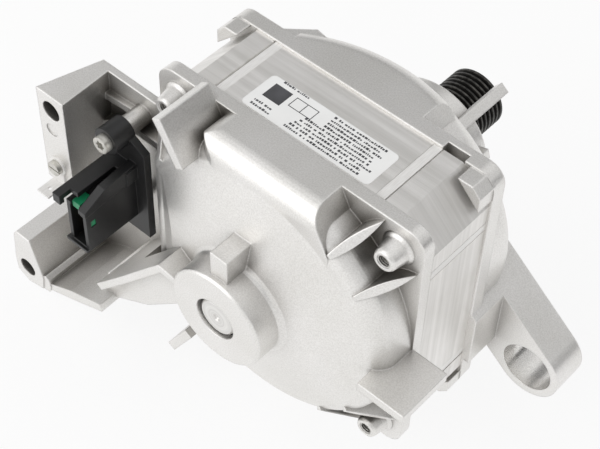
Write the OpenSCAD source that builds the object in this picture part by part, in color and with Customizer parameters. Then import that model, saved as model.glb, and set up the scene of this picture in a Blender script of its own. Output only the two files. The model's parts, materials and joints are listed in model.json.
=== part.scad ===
// Belt drive motor of a drum washing machine: a square laminated stack clamped between two cast
// end shields, a permanent magnet rotor on two ball bearings, and a ribbed belt pulley.
// The shaft runs along Y with the pulley at +Y, the rating label faces +Z, and the origin is on
// the shaft axis in the middle of the belt track.

/* [Stator] */
// width of the square lamination stack across its flats
stator_width = 114; // [108:1:126]
// length of the lamination stack along the shaft
stack_length = 30; // [26:1:40]
// diameter of the round opening that the rotor turns in
stator_bore = 66; // [60:0.5:74]
// number of wound teeth
tooth_count = 12; // [9:3:12]
// width of each tooth
tooth_width = 8; // [6:0.5:9]
// radial depth of the winding slots
slot_depth = 13; // [10:0.5:14]
// width of the flat across each corner of the stack, measured along one side
corner_cut = 12; // [9:0.5:13]
// distance of the clamp screws from the sides of the stack
screw_inset = 9; // [8:0.5:11]
// diameter of the clamp screws
screw_diameter = 5; // [4:0.5:5.5]
// width of the steel cleats that hold the laminations together
cleat_width = 3.5; // [2.5:0.5:4]
// depth of the grooves that the cleats lie in
groove_depth = 1.2; // [0.8:0.1:1.6]
// height of the coil ends outside the stack
coil_overhang = 8; // [6:0.5:10]
// length of the rating label across the stack
label_length = 55; // [40:1:60]
// width of the rating label along the shaft
label_width = 17; // [12:0.5:22]

/* [Rotor] */
// radial air gap between magnets and teeth
air_gap = 0.6; // [0.5:0.1:1]
// radial thickness of the magnets
magnet_thickness = 6; // [4:0.5:8]
// number of magnet poles
pole_count = 8; // [6:2:10]
// diameter of the shaft in the rotor
rotor_shaft_diameter = 20; // [18:0.5:24]

/* [Shields] */
// thickness of the rear square flange
rear_flange = 5; // [4:0.5:8]
// thickness of the front square flange
front_flange = 6; // [5:0.5:9]
// how far the flanges stand out past the stack on each side
flange_overhang = 1; // [0.5:0.5:2]
// radius of the flange corners
corner_radius = 7; // [5:0.5:9]
// wall thickness of the cast bells
wall = 4; // [3:0.5:4.5]
// straight depth of the rear bell before its shoulder starts
rear_straight = 13; // [12:0.5:18]
// straight depth of the front bell before its shoulder starts
front_straight = 16; // [12:0.5:18]
// radius of the rounded shoulder of the bells
shoulder = 7.5; // [5:0.5:9]
// rise of the conical end of a bell from its shoulder to its boss
cone_rise = 7.5; // [5:0.5:10]
// length of the rear bearing boss
rear_boss_length = 11.5; // [11:0.5:16]
// length of the front bearing boss
front_boss_length = 20; // [18:0.5:30]
// wall around the rear bearing seat
rear_boss_wall = 2.7; // [2:0.1:4]
// wall around the front bearing seat
front_boss_wall = 4; // [3:0.1:5]
// height of the threaded bosses behind the rear flange
thread_boss_height = 8; // [6:0.5:10]
// largest thickness of the leaf shaped gussets
gusset_thickness = 3.6; // [2.4:0.2:5]
// tip radius of the three clamping wings of the rear shield
wing_reach = 72.5; // [68:0.5:76]
// thickness of the wings
wing_thickness = 3.8; // [3:0.2:6]
// distance from the stack to the rear edge of the wings
wing_depth = 27.5; // [24:0.5:34]

/* [Mounting arms] */
// diameter of the bush bore in the right arm
arm_bore_diameter = 21; // [16:0.5:22]
// wall around the bush bore
arm_bore_wall = 3.2; // [2.6:0.2:4]
// length of the right arm along the shaft
arm_length = 15.5; // [12:0.5:20]
// distance of the right arm from the front of the stack
arm_start = 16; // [12:0.5:20]
// thickness of the web plate of the left bracket
web_thickness = 2.5; // [2:0.5:4]
// diameter of the bolt holes in the left bracket
bolt_hole_diameter = 8.4; // [6.6:0.1:9]
// depth of the upper bolt hole
upper_hole_depth = 18; // [14:1:22]
// depth of the upper left arm behind the stack
upper_arm_depth = 30; // [26:1:34]
// depth of the lower left arm behind the stack
lower_arm_depth = 39; // [35:1:42]
// thickness of the bent rib beside the rear boss
rib_thickness = 3; // [2:0.2:4]

/* [Bearings] */
// bore of the rear bearing
rear_bearing_bore = 15; // [12:0.5:16]
// outside diameter of the rear bearing
rear_bearing_diameter = 35; // [32:0.5:36]
// width of the rear bearing
rear_bearing_width = 11; // [10:0.5:11.5]
// bore of the front bearing
front_bearing_bore = 17; // [15:0.5:18]
// outside diameter of the front bearing
front_bearing_diameter = 40; // [37:0.5:42]
// width of the front bearing
front_bearing_width = 12; // [11:0.5:13]
// number of balls in each bearing
ball_count = 8; // [6:1:8]

/* [Pulley] */
// tip diameter of the belt ribs
pulley_diameter = 25; // [22.5:0.5:30]
// distance from one belt rib to the next
rib_pitch = 2.34; // [1.6:0.02:2.6]
// number of belt ribs
rib_count = 9; // [6:1:10]
// depth of the grooves between the ribs
rib_depth = 1.9; // [1.2:0.1:2.1]
// diameter of the shaft in the pulley
pulley_bore = 14; // [12:0.5:14.5]
// angle of the belt finger around the shaft
finger_angle = 53; // [45:1:60]

/* [Connector] */
// width of the socket box
socket_width = 9.5; // [9:0.5:11]
// height of the socket box
socket_height = 21.5; // [20:0.5:26]
// depth of the socket box
socket_depth = 24; // [20:1:28]
// wall of the socket box
socket_wall = 1.6; // [1.2:0.2:1.8]
// height of the locking insert in the socket
insert_height = 9; // [7:0.5:11]
// number of blade terminals
blade_count = 3; // [2:1:3]
// length of the screw ear
ear_length = 9; // [7:0.5:11]

/* [Hidden] */
$fn = 96;
half_stack = stator_width / 2;
flange_half = half_stack + flange_overhang;
bell_inset = 0.5;
bell_radius = flange_half - bell_inset;
// clearance of seats, and of pieces that pass each other
fit = 0.05;
clear = 0.25;
// overlap that joins two forms of one casting
sink = 0.5;
screw_radius = screw_diameter / 2;
screw_offset = half_stack - screw_inset;
head_recess = 3;
corners = [[1, 1], [-1, 1], [-1, -1], [1, -1]];

// stations along the shaft measured from the rear face of the stack
rear_shoulder_y = -(rear_straight + shoulder);
rear_cone_y = rear_shoulder_y - cone_rise;
rear_end_y = rear_cone_y - rear_boss_length;
front_face_y = stack_length;
front_shoulder = front_straight + shoulder;
front_cone = front_shoulder + cone_rise;
front_end = front_cone + front_boss_length;
front_end_y = front_face_y + front_end;
rear_wall = 2.5;
front_wall = 3;
spring_gap = 1.5;
ball_clearance = 0.3;
rear_bearing_y = rear_end_y + rear_wall + spring_gap;
front_bearing_y = front_end_y - front_wall - front_bearing_width;
rear_seat = rear_bearing_diameter / 2 + fit;
front_seat = front_bearing_diameter / 2 + fit;
rear_boss = rear_seat + rear_boss_wall;
front_boss = front_seat + front_boss_wall;
rear_hole = rear_bearing_bore / 2 + 1.1;
front_hole = front_bearing_bore / 2 + 2;
pulley_gap = 2;
pulley_start = front_end_y + pulley_gap;
land = 1;
pulley_length = rib_count * rib_pitch + 2 * land;
pulley_end = pulley_start + pulley_length;
belt_plane = pulley_start + pulley_length / 2;

// rotor and windings
rotor_radius = stator_bore / 2 - air_gap;
core_radius = rotor_radius - magnet_thickness;
rotor_clear = 1;
plate_thickness = 2;
tooth_tip = 2;
coil_inner = stator_bore / 2 + tooth_tip + 1;
yoke_radius = coil_inner + slot_depth;
coil_outer = yoke_radius - 1;
former_wall = 0.8;
coil_gap = 0.1;
slot_half = coil_inner * sin(180 / tooth_count) - tooth_width / 2;
coil_side = slot_half - former_wall - 0.5;
cleat_gap = 2;
groove_width = cleat_width + cleat_gap;
groove_centre = half_stack - corner_cut - 9.35;

// crowns that raise the bells to the height of the flanges, and the flat left side of the rear bell
crown_base = 30;
crown_foot = 42;
crown_right = 23;
crown_flare = 9;
crown_foot_right = crown_right + crown_flare;
rear_crown_left = 28;
rear_crown_round = 11;
front_crown_left = 32;
front_crown_curve = 70;
front_crown_centre = 3;
flat_inset = 6.5;
flat_side = half_stack - flat_inset;

// places of the mounting holes in the plane across the shaft
arm_bore_at = [half_stack + 18.75, -45];
arm_angle = -38.6;
arm_reach = 48;
upper_hole_at = [-half_stack - 30.5, 32];
lower_hole_at = [-half_stack - 48.5, -63];
web_rear = -rear_flange - web_thickness;
web_front = -rear_flange + sink;
wing_angles = [0, 120, 240];
gusset_angles = [36.5, 53.5, 143.5, 216.5, 306.5, 323.5];

// connector holder on its cast post, and the earth blade
post_at = [-half_stack - 7.2, 30.5];
post_radius = 3.9;
ear_radius = 5.4;
peg_at = [-half_stack - 10, -13];
holder_front = -17;
holder_plate = 3;
holder_rear = holder_front - holder_plate;
holder_right = -flat_side - 1.5;
holder_screw_radius = 2;
socket_right = -half_stack - 0.5;
socket_left = socket_right - socket_width;
socket_top = 13.5;
socket_bottom = socket_top - socket_height;
socket_mouth = holder_rear - socket_depth;
socket_back = holder_rear - 1.5;
earth_at = [upper_hole_at[0], 4];
earth_screw_radius = 1.5;
earth_blade = 0.8;

// shades of the pieces
cast_grey = [0.80, 0.79, 0.77];
steel_grey = [0.62, 0.62, 0.62];
bright_steel = [0.80, 0.80, 0.80];
zinc = [0.75, 0.75, 0.72];
black = [0.06, 0.06, 0.065];
green = [0.05, 0.42, 0.24];
copper = [0.72, 0.38, 0.18];
magnet_grey = [0.22, 0.22, 0.23];
brass = [0.80, 0.65, 0.30];
white = [0.93, 0.93, 0.92];
nylon = [0.88, 0.86, 0.78];

// moves a piece drawn from the rear face of the stack so that the belt plane lies at the origin
module place() {
    translate([0, -belt_plane, 0]) children();
}

// turns a form drawn away from the stack to the rear, or moves it to the front
module rear_side() {
    mirror([0, 1, 0]) children();
}

module front_side() {
    translate([0, front_face_y, 0]) children();
}

// round solid from an outline of radius and distance along the shaft
module turned(points) {
    rotate([-90, 0, 0]) rotate_extrude() polygon(points);
}

// round rod along the shaft at a point of the plane across it
module rod(at, radius, y0, y1) {
    translate([at[0], y0, at[1]]) rotate([-90, 0, 0]) cylinder(r = radius, h = y1 - y0);
}

// outline in the plane across the shaft given a length along it
module slab(y0, y1) {
    translate([0, y1, 0]) rotate([90, 0, 0]) linear_extrude(y1 - y0) children();
}

// box given by its two opposite corners
module box(low, high) {
    translate(low) cube(high - low);
}

// points given from the left side of the stack
function from_side(points) = [for (p = points) p - [half_stack, 0]];

// point beside a line of points, half a strip away from it and mitred at the bends
function unit(v) = v / norm(v);
function beside(points, i, half) = let (
        last = len(points) - 1,
        before = unit(points[max(i, 1)] - points[max(i, 1) - 1]),
        after = unit(points[min(i + 1, last)] - points[min(i + 1, last) - 1]),
        middle = unit(before + after))
    points[i] + half / (middle * before) * [-middle[1], middle[0]];

// flat strip of even width along a line of points
module strip(points, width) {
    last = len(points) - 1;
    polygon(concat([for (i = [0 : last]) beside(points, i, width / 2)],
        [for (i = [last : -1 : 0]) beside(points, i, -width / 2)]));
}

// square outline with round corners
module round_square(half, radius) {
    square([2 * half, 2 * (half - radius)], center = true);
    square([2 * (half - radius), 2 * half], center = true);
    for (c = corners) translate((half - radius) * c) circle(radius);
}

// quarter arc from straight out to straight ahead
function arc(radius, depth, size) =
    [for (a = [0 : 10 : 90]) [radius - size + size * cos(a), depth + size * sin(a)]];

// outer outline of a bell, drawn for a depth that grows away from the stack
function bell_outline(straight, boss, end_at) = let (
        root = 2,
        edge = 0.8,
        cone_at = straight + shoulder + cone_rise)
    concat([[0, 0], [bell_radius, 0]], arc(bell_radius, straight, shoulder),
        [[boss + root, cone_at - 0.2 * root], [boss + root / 4, cone_at + 0.2 * root],
         [boss, cone_at + 0.8 * root], [boss, end_at - edge], [boss - edge, end_at], [0, end_at]]);

// outline of its hollow with the bearing seat and the shaft hole
function hollow_outline(straight, seat, hole, seat_end, end_at) = let (
        inner = bell_radius - wall,
        shoulder_at = straight + shoulder - wall,
        cone_at = shoulder_at + cone_rise)
    [[0, -1], [inner, -1], [inner, straight - 1], [inner - shoulder * 0.3, straight + shoulder * 0.27],
     [inner - shoulder + 1, shoulder_at], [seat + wall, cone_at - 0.5], [seat, cone_at],
     [seat, seat_end], [hole, seat_end], [hole, end_at + 1], [0, end_at + 1]];

// crown of the rear bell with a straight rounded edge and a rounded left end
module rear_crown() {
    top = flange_half + 1;
    low = half_stack / 2;
    far = stator_width;
    depth = rear_straight + shoulder;
    turn_x = rear_crown_round - rear_crown_left;
    turn_y = depth - rear_crown_round;
    intersection() {
        slab(0, depth) polygon(concat([[-rear_crown_left, crown_base]],
            [for (p = arc(rear_crown_left, flange_half - shoulder, shoulder)) [-p[0], p[1]]],
            [[shoulder - rear_crown_left, top], [crown_right, top], [crown_foot_right, crown_foot],
             [crown_foot_right, crown_base]]));
        translate([-half_stack, 0, 0]) rotate([90, 0, 90]) linear_extrude(stator_width)
            polygon(concat([[0, low], [0, flange_half]],
                [for (p = arc(flange_half, rear_straight, shoulder)) [p[1], p[0]]], [[depth, low]]));
        linear_extrude(far) polygon(concat([[-far, -1], [-far, turn_y]],
            [for (a = [0 : 10 : 90]) [turn_x - rear_crown_round * cos(a), turn_y + rear_crown_round * sin(a)]],
            [[turn_x, depth + 1], [far, depth + 1], [far, -1]]));
    }
}

// crown of the front bell with an edge that is curved seen from above
module front_crown() {
    top = flange_half + 1;
    low = half_stack / 2;
    left = front_crown_left + crown_flare;
    intersection() {
        slab(0, front_shoulder) polygon([[-left, crown_base], [-left, crown_foot], [-front_crown_left, top],
            [crown_right, top], [crown_foot_right, crown_foot], [crown_foot_right, crown_base]]);
        translate([front_crown_centre, front_shoulder - front_crown_curve, 0]) rotate_extrude()
            polygon(concat([[0, low], [front_crown_curve, low]],
                arc(front_crown_curve, flange_half - shoulder, shoulder), [[0, flange_half]]));
    }
}

// everything right of the flat left side with its rounded rear edge
module right_of_flat() {
    far = 2 * stator_width;
    neck = rear_boss + 2;
    translate([0, 0, -far / 2]) linear_extrude(far)
        polygon(concat([[far, far], [-flat_side, far]],
            [for (p = arc(flat_side, rear_straight, shoulder)) -p],
            [[-neck, rear_cone_y - 3], [-neck, -far], [far, -far]]));
}

// the same for the hollow, with the wall left standing
module right_of_inner_flat() {
    far = 2 * stator_width;
    inner = flat_side - wall;
    neck = rear_seat + 3;
    translate([0, 0, -far / 2]) linear_extrude(far)
        polygon([[far, far], [-far, far], [-far, -1.5], [-inner, -1.5], [-inner, 2 - rear_straight],
            [shoulder - 2.5 - inner, wall + rear_shoulder_y], [-neck, rear_cone_y],
            [-neck, -far], [far, -far]]);
}

// leaf shaped gusset that ties a bell to a flange corner
module gusset(angle) {
    low = bell_radius - 6;
    high = bell_radius + 12.5;
    bulge = gusset_thickness / 2;
    curve = (pow((high - low) / 2, 2) + bulge * bulge) / gusset_thickness;
    deep = rear_straight + shoulder;
    rotate([0, -angle, 0]) intersection() {
        translate([0, 0, -gusset_thickness]) linear_extrude(2 * gusset_thickness)
            polygon([[low - 1, -rear_flange + 2], [high + 1, -rear_flange + 2], [high + 1, -rear_flange],
                [high - 2.5, -rear_flange - 3.5], [bell_radius - 3, -deep], [low - 1, -deep + 1.5]]);
        rod([(low + high) / 2, curve - bulge], curve, -2 * deep, 0);
        rod([(low + high) / 2, bulge - curve], curve, -2 * deep, 0);
    }
}

// clamping wing behind the flange, with its inner edge free behind the shoulder
module wing(angle) {
    inner = bell_radius - 4.5;
    foot = flange_half - 1;
    rotate([0, -angle, 0]) translate([0, 0, -wing_thickness / 2]) linear_extrude(wing_thickness)
        polygon([[inner, -1], [foot, -1], [foot, web_front], [wing_reach, web_front],
            [wing_reach, -wing_depth], [inner, -wing_depth]]);
}

// threaded boss for a clamp screw behind the rear flange, with a flared foot
module thread_boss(at) {
    tip = screw_radius + 1.8;
    end = rear_flange + thread_boss_height;
    translate([at[0], 0, at[1]]) rear_side() turned([[0, 1], [tip + 2, 1], [tip + 2, rear_flange + 0.6],
        [tip + 1, rear_flange + 1.6], [tip + 0.6, rear_flange + 3.4], [tip, end - 1],
        [tip - 0.6, end], [0, end]]);
}

// web plate and arms of the left bracket
module left_bracket() {
    shelf_rear = web_rear - 4.5;
    slab(web_rear, web_front) polygon(from_side([[8, 39.5], [-28, 39.5], [-28, -4], [-52, -44],
        [-55.5, -62], [-54, -70], [-40, -71], [-8, -56], [8, -50]]));
    upper_arm();
    lower_arm();
    slab(shelf_rear, web_front) polygon(from_side([[-15, 26.4], [7, 26.4], [5, 23], [-15, 23]]));
    rod(post_at, post_radius, holder_front, web_front);
    slab(web_rear - 2.5, web_front) strip([post_at, [-half_stack - 26, 29]], rib_thickness);
    slab(shelf_rear, web_front) strip(from_side([[-14, 24.6], [-26, 15]]), rib_thickness);
}

// thick wedge wall that widens towards the rear and carries the upper bolt hole
module upper_arm() {
    low = -6;
    high = 39.5;
    rear = -upper_arm_depth;
    translate([0, 0, low]) linear_extrude(high - low)
        polygon(from_side([[-30, web_front], [-24.8, web_front], [-23.8, rear], [-37.3, rear]]));
    rod(upper_hole_at, bolt_hole_diameter / 2 + 2, rear, upper_hole_depth + rear);
}

// channel shaped arm with the lower bolt hole, the ridge beside it and its sloping foot
module lower_arm() {
    rear = -lower_arm_depth;
    slab(rear, web_front) polygon(from_side([[-55.5, -62], [-54, -46], [-52.5, -44], [-45, -44],
        [-39.5, -63], [-40.5, -70], [-49, -72], [-55, -69]]));
    slab(rear + 0.5, web_front) polygon(from_side([[-41, -62.6], [-38.8, -61.2], [-36.6, -62.4],
        [-36, -66], [-37, -69.6], [-41, -70.4]]));
    slab(rear + 1, web_front) polygon(from_side([[-38.5, -69], [-36.6, -64.6], [-24, -58], [-7, -51.5],
        [-6, -55], [-24, -63]]));
}

// bent rib from the bearing boss to the foot of the lower arm, with its web
module bent_rib() {
    bend = [-rear_boss - 9, 0];
    mid = [6.5 - half_stack, -25.5];
    foot = [-7 - half_stack, -41];
    rear = rear_end_y + 2.5;
    web = rear_cone_y - 2;
    slab(rear, rear_cone_y + 3.4) strip([[2 - rear_boss, -1], bend, mid, foot], rib_thickness);
    slab(rear_cone_y + 2, -1) strip([mid, foot], rib_thickness - 0.4);
    slab(web, rear_shoulder_y - 3) polygon([[3 - rear_boss, -6], bend, foot, foot - [2, 14], foot + [3, -11],
        [12 - half_stack, -42], [-rear_boss - 8, -26], [5 - rear_boss, -13]]);
    slab(web, -1) polygon([foot - [2.5, 0], foot - [5, 15], foot + [2, -11], foot + [1.5, 1]]);
}

// square lug on top of the rear boss
module boss_lug() {
    half = 3.8;
    height = 10.5;
    box([-half, rear_end_y + 2.5, 0], [half, rear_cone_y + 3, rear_boss + height]);
}

module rear_shield() color(cast_grey) place() {
    mark_depth = 0.4;
    difference() {
        union() {
            intersection() {
                rear_side() turned(bell_outline(rear_straight, rear_boss, -rear_end_y));
                right_of_flat();
            }
            rear_side() rear_crown();
            slab(-rear_flange, 0) round_square(flange_half, corner_radius);
            for (c = corners) thread_boss(screw_offset * c);
            for (a = gusset_angles) gusset(a);
            for (a = wing_angles) wing(a);
            boss_lug();
            left_bracket();
            bent_rib();
        }
        intersection() {
            rear_side() turned(hollow_outline(rear_straight, rear_seat, rear_hole,
                -rear_end_y - rear_wall, -rear_end_y));
            right_of_inner_flat();
        }
        for (c = corners) rod(screw_offset * c, screw_radius + fit, -rear_flange - thread_boss_height - 1, 1);
        rod(upper_hole_at, bolt_hole_diameter / 2, -upper_arm_depth - 1, upper_hole_depth - upper_arm_depth);
        rod(upper_hole_at - [1, 10.2], bolt_hole_diameter / 3,
            -upper_arm_depth - 1, mark_depth - upper_arm_depth);
        rod(lower_hole_at, bolt_hole_diameter / 2, -lower_arm_depth - 1, 1);
        rod(post_at, holder_screw_radius + fit, holder_front - 1, web_rear + 1);
        rod(earth_at, earth_screw_radius + fit, -upper_arm_depth - 1, 8 - upper_arm_depth);
    }
}

// block that fills a cut corner of the stack next to the front flange
module corner_lug() {
    depth = 7;
    chamfer = 3.5;
    h = flange_half - bell_inset;
    near = corner_cut - 2.5;
    slab(-depth, 1) polygon([[h - near, h], [h, h - near], [h, h - chamfer], [h - chamfer, h]]);
}

// right arm with a sloping top that starts on the bell and ends in the bush boss
module right_arm() {
    boss = arm_bore_diameter / 2 + arm_bore_wall;
    along = [cos(arm_angle), sin(arm_angle)];
    across = [-along[1], along[0]];
    root = arm_bore_at - arm_reach * along;
    tip = arm_bore_at + boss * across;
    web_near = tip - (arm_reach + 2) * along;
    web_far = web_near + 19.4 * along;
    slab(arm_start, arm_start + arm_length)
        polygon([tip, arm_bore_at - boss * across, root - boss * across, root + boss * across]);
    rod(arm_bore_at, boss, arm_start, arm_start + arm_length);
    slab(0, arm_start + 1) polygon([web_near, web_far, web_far - [0, 25], web_near - [0, 38]]);
}

// finger that keeps the belt on the pulley, with its foot and a short stop beside it
module belt_guard() {
    foot = front_end - 17;
    tip = pulley_end - front_face_y - 8;
    half = 2.2;
    rotate([0, -finger_angle, 0]) {
        box([front_boss - 1.5, foot, -half], [front_boss + 3, tip, half]);
        box([front_boss - 2, foot, -5], [front_boss + half, foot + 9, 5]);
    }
    rotate([0, 34 - finger_angle, 0])
        box([front_boss - 2, front_end - 22, -2], [front_boss + 3.5, front_end - 3, 2]);
}

// radial rib on the cone of the front bell
module cone_rib(angle) {
    thickness = 3;
    rotate([0, -angle, 0]) translate([0, 0, -thickness / 2]) linear_extrude(thickness)
        polygon([[front_boss - 2, front_shoulder + 2], [bell_radius - 9, front_shoulder - 1],
            [front_boss + 6, front_cone + 3], [front_boss - 2, front_cone + 9]]);
}

// wedge shaped web between the front flange and its crown
module crown_web() {
    low = crown_base + 10;
    translate([0, 0, low]) linear_extrude(half_stack - low)
        polygon([[-41, front_flange - 1], [-30, 14.5], [-24, 13.5], [-24, front_flange - 1]]);
}

module front_shield() color(cast_grey) place() {
    head_bore = 6.2;
    seat = front_flange - head_recess;
    notch = 4.5;
    difference() {
        union() {
            front_side() turned(bell_outline(front_straight, front_boss, front_end));
            front_side() front_crown();
            front_side() crown_web();
            front_side() slab(0, front_flange) round_square(flange_half, corner_radius);
            front_side() for (q = [0 : 90 : 270]) rotate([0, q, 0]) corner_lug();
            front_side() right_arm();
            front_side() belt_guard();
            front_side() for (a = [30 : 60 : 330]) cone_rib(a);
        }
        front_side()
            turned(hollow_outline(front_straight, front_seat, front_hole, front_end - front_wall, front_end));
        front_side() for (c = corners) {
            rod(screw_offset * c, screw_radius + clear, -1, front_flange);
            rod(screw_offset * c, head_bore, seat, front_flange + 10);
        }
        front_side() rod(arm_bore_at, arm_bore_diameter / 2, arm_start - 1, arm_start + arm_length + 1);
        front_side() translate([half_stack - corner_cut - 4, 0, 0])
            box([-notch, -1, half_stack - 4], [notch, 3, flange_half + 1]);
    }
}

// outline of a lamination without its openings
module stack_outline() {
    h = half_stack;
    k = half_stack - corner_cut;
    polygon([[h, -k], [h, k], [k, h], [-k, h], [-h, k], [-h, -k], [-k, -h], [k, -h]]);
}

// outline of one slot between two teeth, kept half a tooth away from both
module slot() {
    pitch = 360 / tooth_count;
    inner = coil_inner - 0.6;
    low = asin(tooth_width / 2 / inner);
    high = asin(tooth_width / 2 / yoke_radius);
    polygon(concat([inner * [cos(low), sin(low)]],
        [for (i = [0 : 4]) let (a = high + (pitch - 2 * high) * i / 4) yoke_radius * [cos(a), sin(a)]],
        [inner * [cos(pitch - low), sin(pitch - low)]]));
}

// floors of the two grooves in each side of the stack
module groove_floors() {
    for (q = [0 : 90 : 270], $side = [-1, 1]) rotate(q)
        translate([half_stack - groove_depth, $side * groove_centre]) children();
}

module stator_core() color(steel_grey) place() {
    slot_opening = 3;
    slab(0, stack_length) difference() {
        stack_outline();
        circle(stator_bore / 2);
        for (i = [0 : tooth_count - 1]) rotate(360 / tooth_count * i) slot();
        for (i = [0 : tooth_count - 1]) rotate(360 / tooth_count * (i + 0.5))
            translate([stator_bore / 2 - 1, -slot_opening / 2]) square([tooth_tip + 3, slot_opening]);
        for (c = corners) translate(screw_offset * c) circle(screw_radius + clear);
        groove_floors() translate([0, -groove_width / 2]) square([groove_depth + 1, groove_width]);
    }
}

// steel strips in the grooves along the stack, each against the inner side of its groove
module stack_cleats() color(bright_steel) place() {
    shift = cleat_gap / 2 - fit;
    slab(0, stack_length) groove_floors()
        translate([0, -$side * shift - cleat_width / 2]) square([groove_depth - 0.1, cleat_width]);
}

// rectangular sleeve around a tooth in the plane along the shaft
module tooth_sleeve(grow, over, r0, r1) {
    w = tooth_width / 2 + grow;
    box([r0, -over, -w], [r1, stack_length + over, w]);
}

// insulation on each tooth with a raised rim that keeps the winding off the rotor
module coil_formers() color(nylon) place() {
    rim = former_wall + 0.6;
    for (i = [0 : tooth_count - 1]) rotate([0, -360 / tooth_count * i, 0]) difference() {
        union() {
            tooth_sleeve(former_wall, former_wall, coil_inner, coil_outer);
            tooth_sleeve(rim, coil_overhang + former_wall, coil_inner - 0.3, coil_inner + 0.5);
        }
        tooth_sleeve(fit, fit, coil_inner - 2, coil_outer + 2);
    }
}

module stator_coils() color(copper) place() {
    hollow = former_wall + coil_gap;
    for (i = [0 : tooth_count - 1]) rotate([0, -360 / tooth_count * i, 0]) difference() {
        tooth_sleeve(hollow + coil_side, coil_overhang, coil_inner + 0.7, coil_outer - 3);
        tooth_sleeve(hollow, hollow, coil_inner, coil_outer + 1);
    }
}

// blank label with round corners on the top flat of the stack
module rating_label() color(white) place() {
    centre = 1.5;
    margin = 1;
    round_corner = 2;
    film = 0.25;
    size = [label_length, label_width];
    translate([centre - label_length / 2, margin, half_stack]) linear_extrude(film) union() {
        translate([round_corner, 0]) square(size - [2 * round_corner, 0]);
        translate([0, round_corner]) square(size - [0, 2 * round_corner]);
        for (x = [round_corner, label_length - round_corner], y = [round_corner, label_width - round_corner])
            translate([x, y]) circle(round_corner);
    }
}

// long screws from the front flange through the stack into the rear bosses
module clamp_screws() color(zinc) place() {
    seat = front_face_y + front_flange - head_recess;
    recess = 2.5;
    collar = screw_radius + 3.1;
    collar_thickness = 1.2;
    head = screw_radius + 2.1;
    head_height = 4;
    for (c = corners) {
        rod(screw_offset * c, screw_radius, recess - rear_flange - thread_boss_height, seat + 1);
        rod(screw_offset * c, collar, seat, seat + collar_thickness);
        translate([screw_offset * c[0], seat + 1, screw_offset * c[1]]) rotate([-90, 0, 0])
            cylinder(r = head, h = head_height, $fn = 6);
    }
}

// pitch circle and ball size of a bearing, and the radii of its two inner shoulders
function pitch_radius(bore, diameter) = (bore + diameter) / 4;
function ball_radius(bore, diameter) = (diameter - bore) * 0.145;
function outer_shoulder(bore, diameter) = pitch_radius(bore, diameter) + 0.55 * ball_radius(bore, diameter);
function inner_shoulder(bore, diameter) = pitch_radius(bore, diameter) - 0.55 * ball_radius(bore, diameter);

// round groove that the balls run in
module ball_groove(bore, diameter, width) {
    translate([pitch_radius(bore, diameter), width / 2]) circle(ball_radius(bore, diameter) + ball_clearance);
}

module outer_ring(bore, diameter, width) {
    inner = outer_shoulder(bore, diameter);
    outer = diameter / 2;
    edge = 0.5;
    rotate([-90, 0, 0]) rotate_extrude() difference() {
        polygon([[inner, 0], [outer - edge, 0], [outer, edge], [outer, width - edge], [outer - edge, width],
            [inner, width]]);
        ball_groove(bore, diameter, width);
    }
}

module inner_ring(bore, diameter, width) {
    inner = bore / 2 + fit;
    outer = inner_shoulder(bore, diameter);
    edge = 0.4;
    rotate([-90, 0, 0]) rotate_extrude() difference() {
        polygon([[inner, edge], [inner + edge, 0], [outer, 0], [outer, width], [inner + edge, width],
            [inner, width - edge]]);
        ball_groove(bore, diameter, width);
    }
}

// copies around a bearing at the middle of its width
module at_balls(bore, diameter, width) {
    for (i = [0 : ball_count - 1]) rotate([0, 360 / ball_count * i, 0])
        translate([pitch_radius(bore, diameter), width / 2, 0]) children();
}

module ball_set(bore, diameter, width) {
    at_balls(bore, diameter, width) sphere(ball_radius(bore, diameter));
}

// pressed cage ring with a pocket for each ball
module ball_cage(bore, diameter, width) {
    track = pitch_radius(bore, diameter);
    ball = ball_radius(bore, diameter);
    half = 0.7;
    side = ball + 0.8;
    pocket = ball + 0.12;
    difference() {
        turned([[track - half, width / 2 - side], [track + half, width / 2 - side],
            [track + half, width / 2 + side], [track - half, width / 2 + side]]);
        at_balls(bore, diameter, width)
            translate([-ball, 0, 0]) rotate([0, 90, 0]) cylinder(r = pocket, h = 2 * ball);
    }
}

// pair of thin seals between the rings
module seal_pair(bore, diameter, width) {
    inner = inner_shoulder(bore, diameter) + 0.3;
    outer = outer_shoulder(bore, diameter) - fit;
    thick = 0.7;
    recess = 0.3;
    for (y = [recess, width - recess - thick]) translate([0, y, 0])
        turned([[inner, 0], [outer, 0], [outer, thick], [inner, thick]]);
}

module rear_bearing() {
    place() translate([0, rear_bearing_y, 0]) children();
}

module front_bearing() {
    place() translate([0, front_bearing_y, 0]) children();
}

module rear_outer_ring() color(bright_steel) rear_bearing()
    outer_ring(rear_bearing_bore, rear_bearing_diameter, rear_bearing_width);

module rear_inner_ring() color(bright_steel) rear_bearing()
    inner_ring(rear_bearing_bore, rear_bearing_diameter, rear_bearing_width);

module rear_balls() color(bright_steel) rear_bearing()
    ball_set(rear_bearing_bore, rear_bearing_diameter, rear_bearing_width);

module rear_cage() color(brass) rear_bearing()
    ball_cage(rear_bearing_bore, rear_bearing_diameter, rear_bearing_width);

module rear_seals() color(black) rear_bearing()
    seal_pair(rear_bearing_bore, rear_bearing_diameter, rear_bearing_width);

// thin spring washer that loads the rear bearing
module preload_spring() color(zinc) rear_bearing() {
    outer = rear_bearing_diameter / 2 - 0.6;
    inner = outer - 3;
    middle = (inner + outer) / 2;
    thick = 0.6;
    rear_side() turned([[inner, thick / 2], [middle, 0], [outer, thick / 2], [outer, spring_gap - thick / 2],
        [middle, spring_gap], [inner, spring_gap - thick / 2]]);
}

module front_outer_ring() color(bright_steel) front_bearing()
    outer_ring(front_bearing_bore, front_bearing_diameter, front_bearing_width);

module front_inner_ring() color(bright_steel) front_bearing()
    inner_ring(front_bearing_bore, front_bearing_diameter, front_bearing_width);

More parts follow.
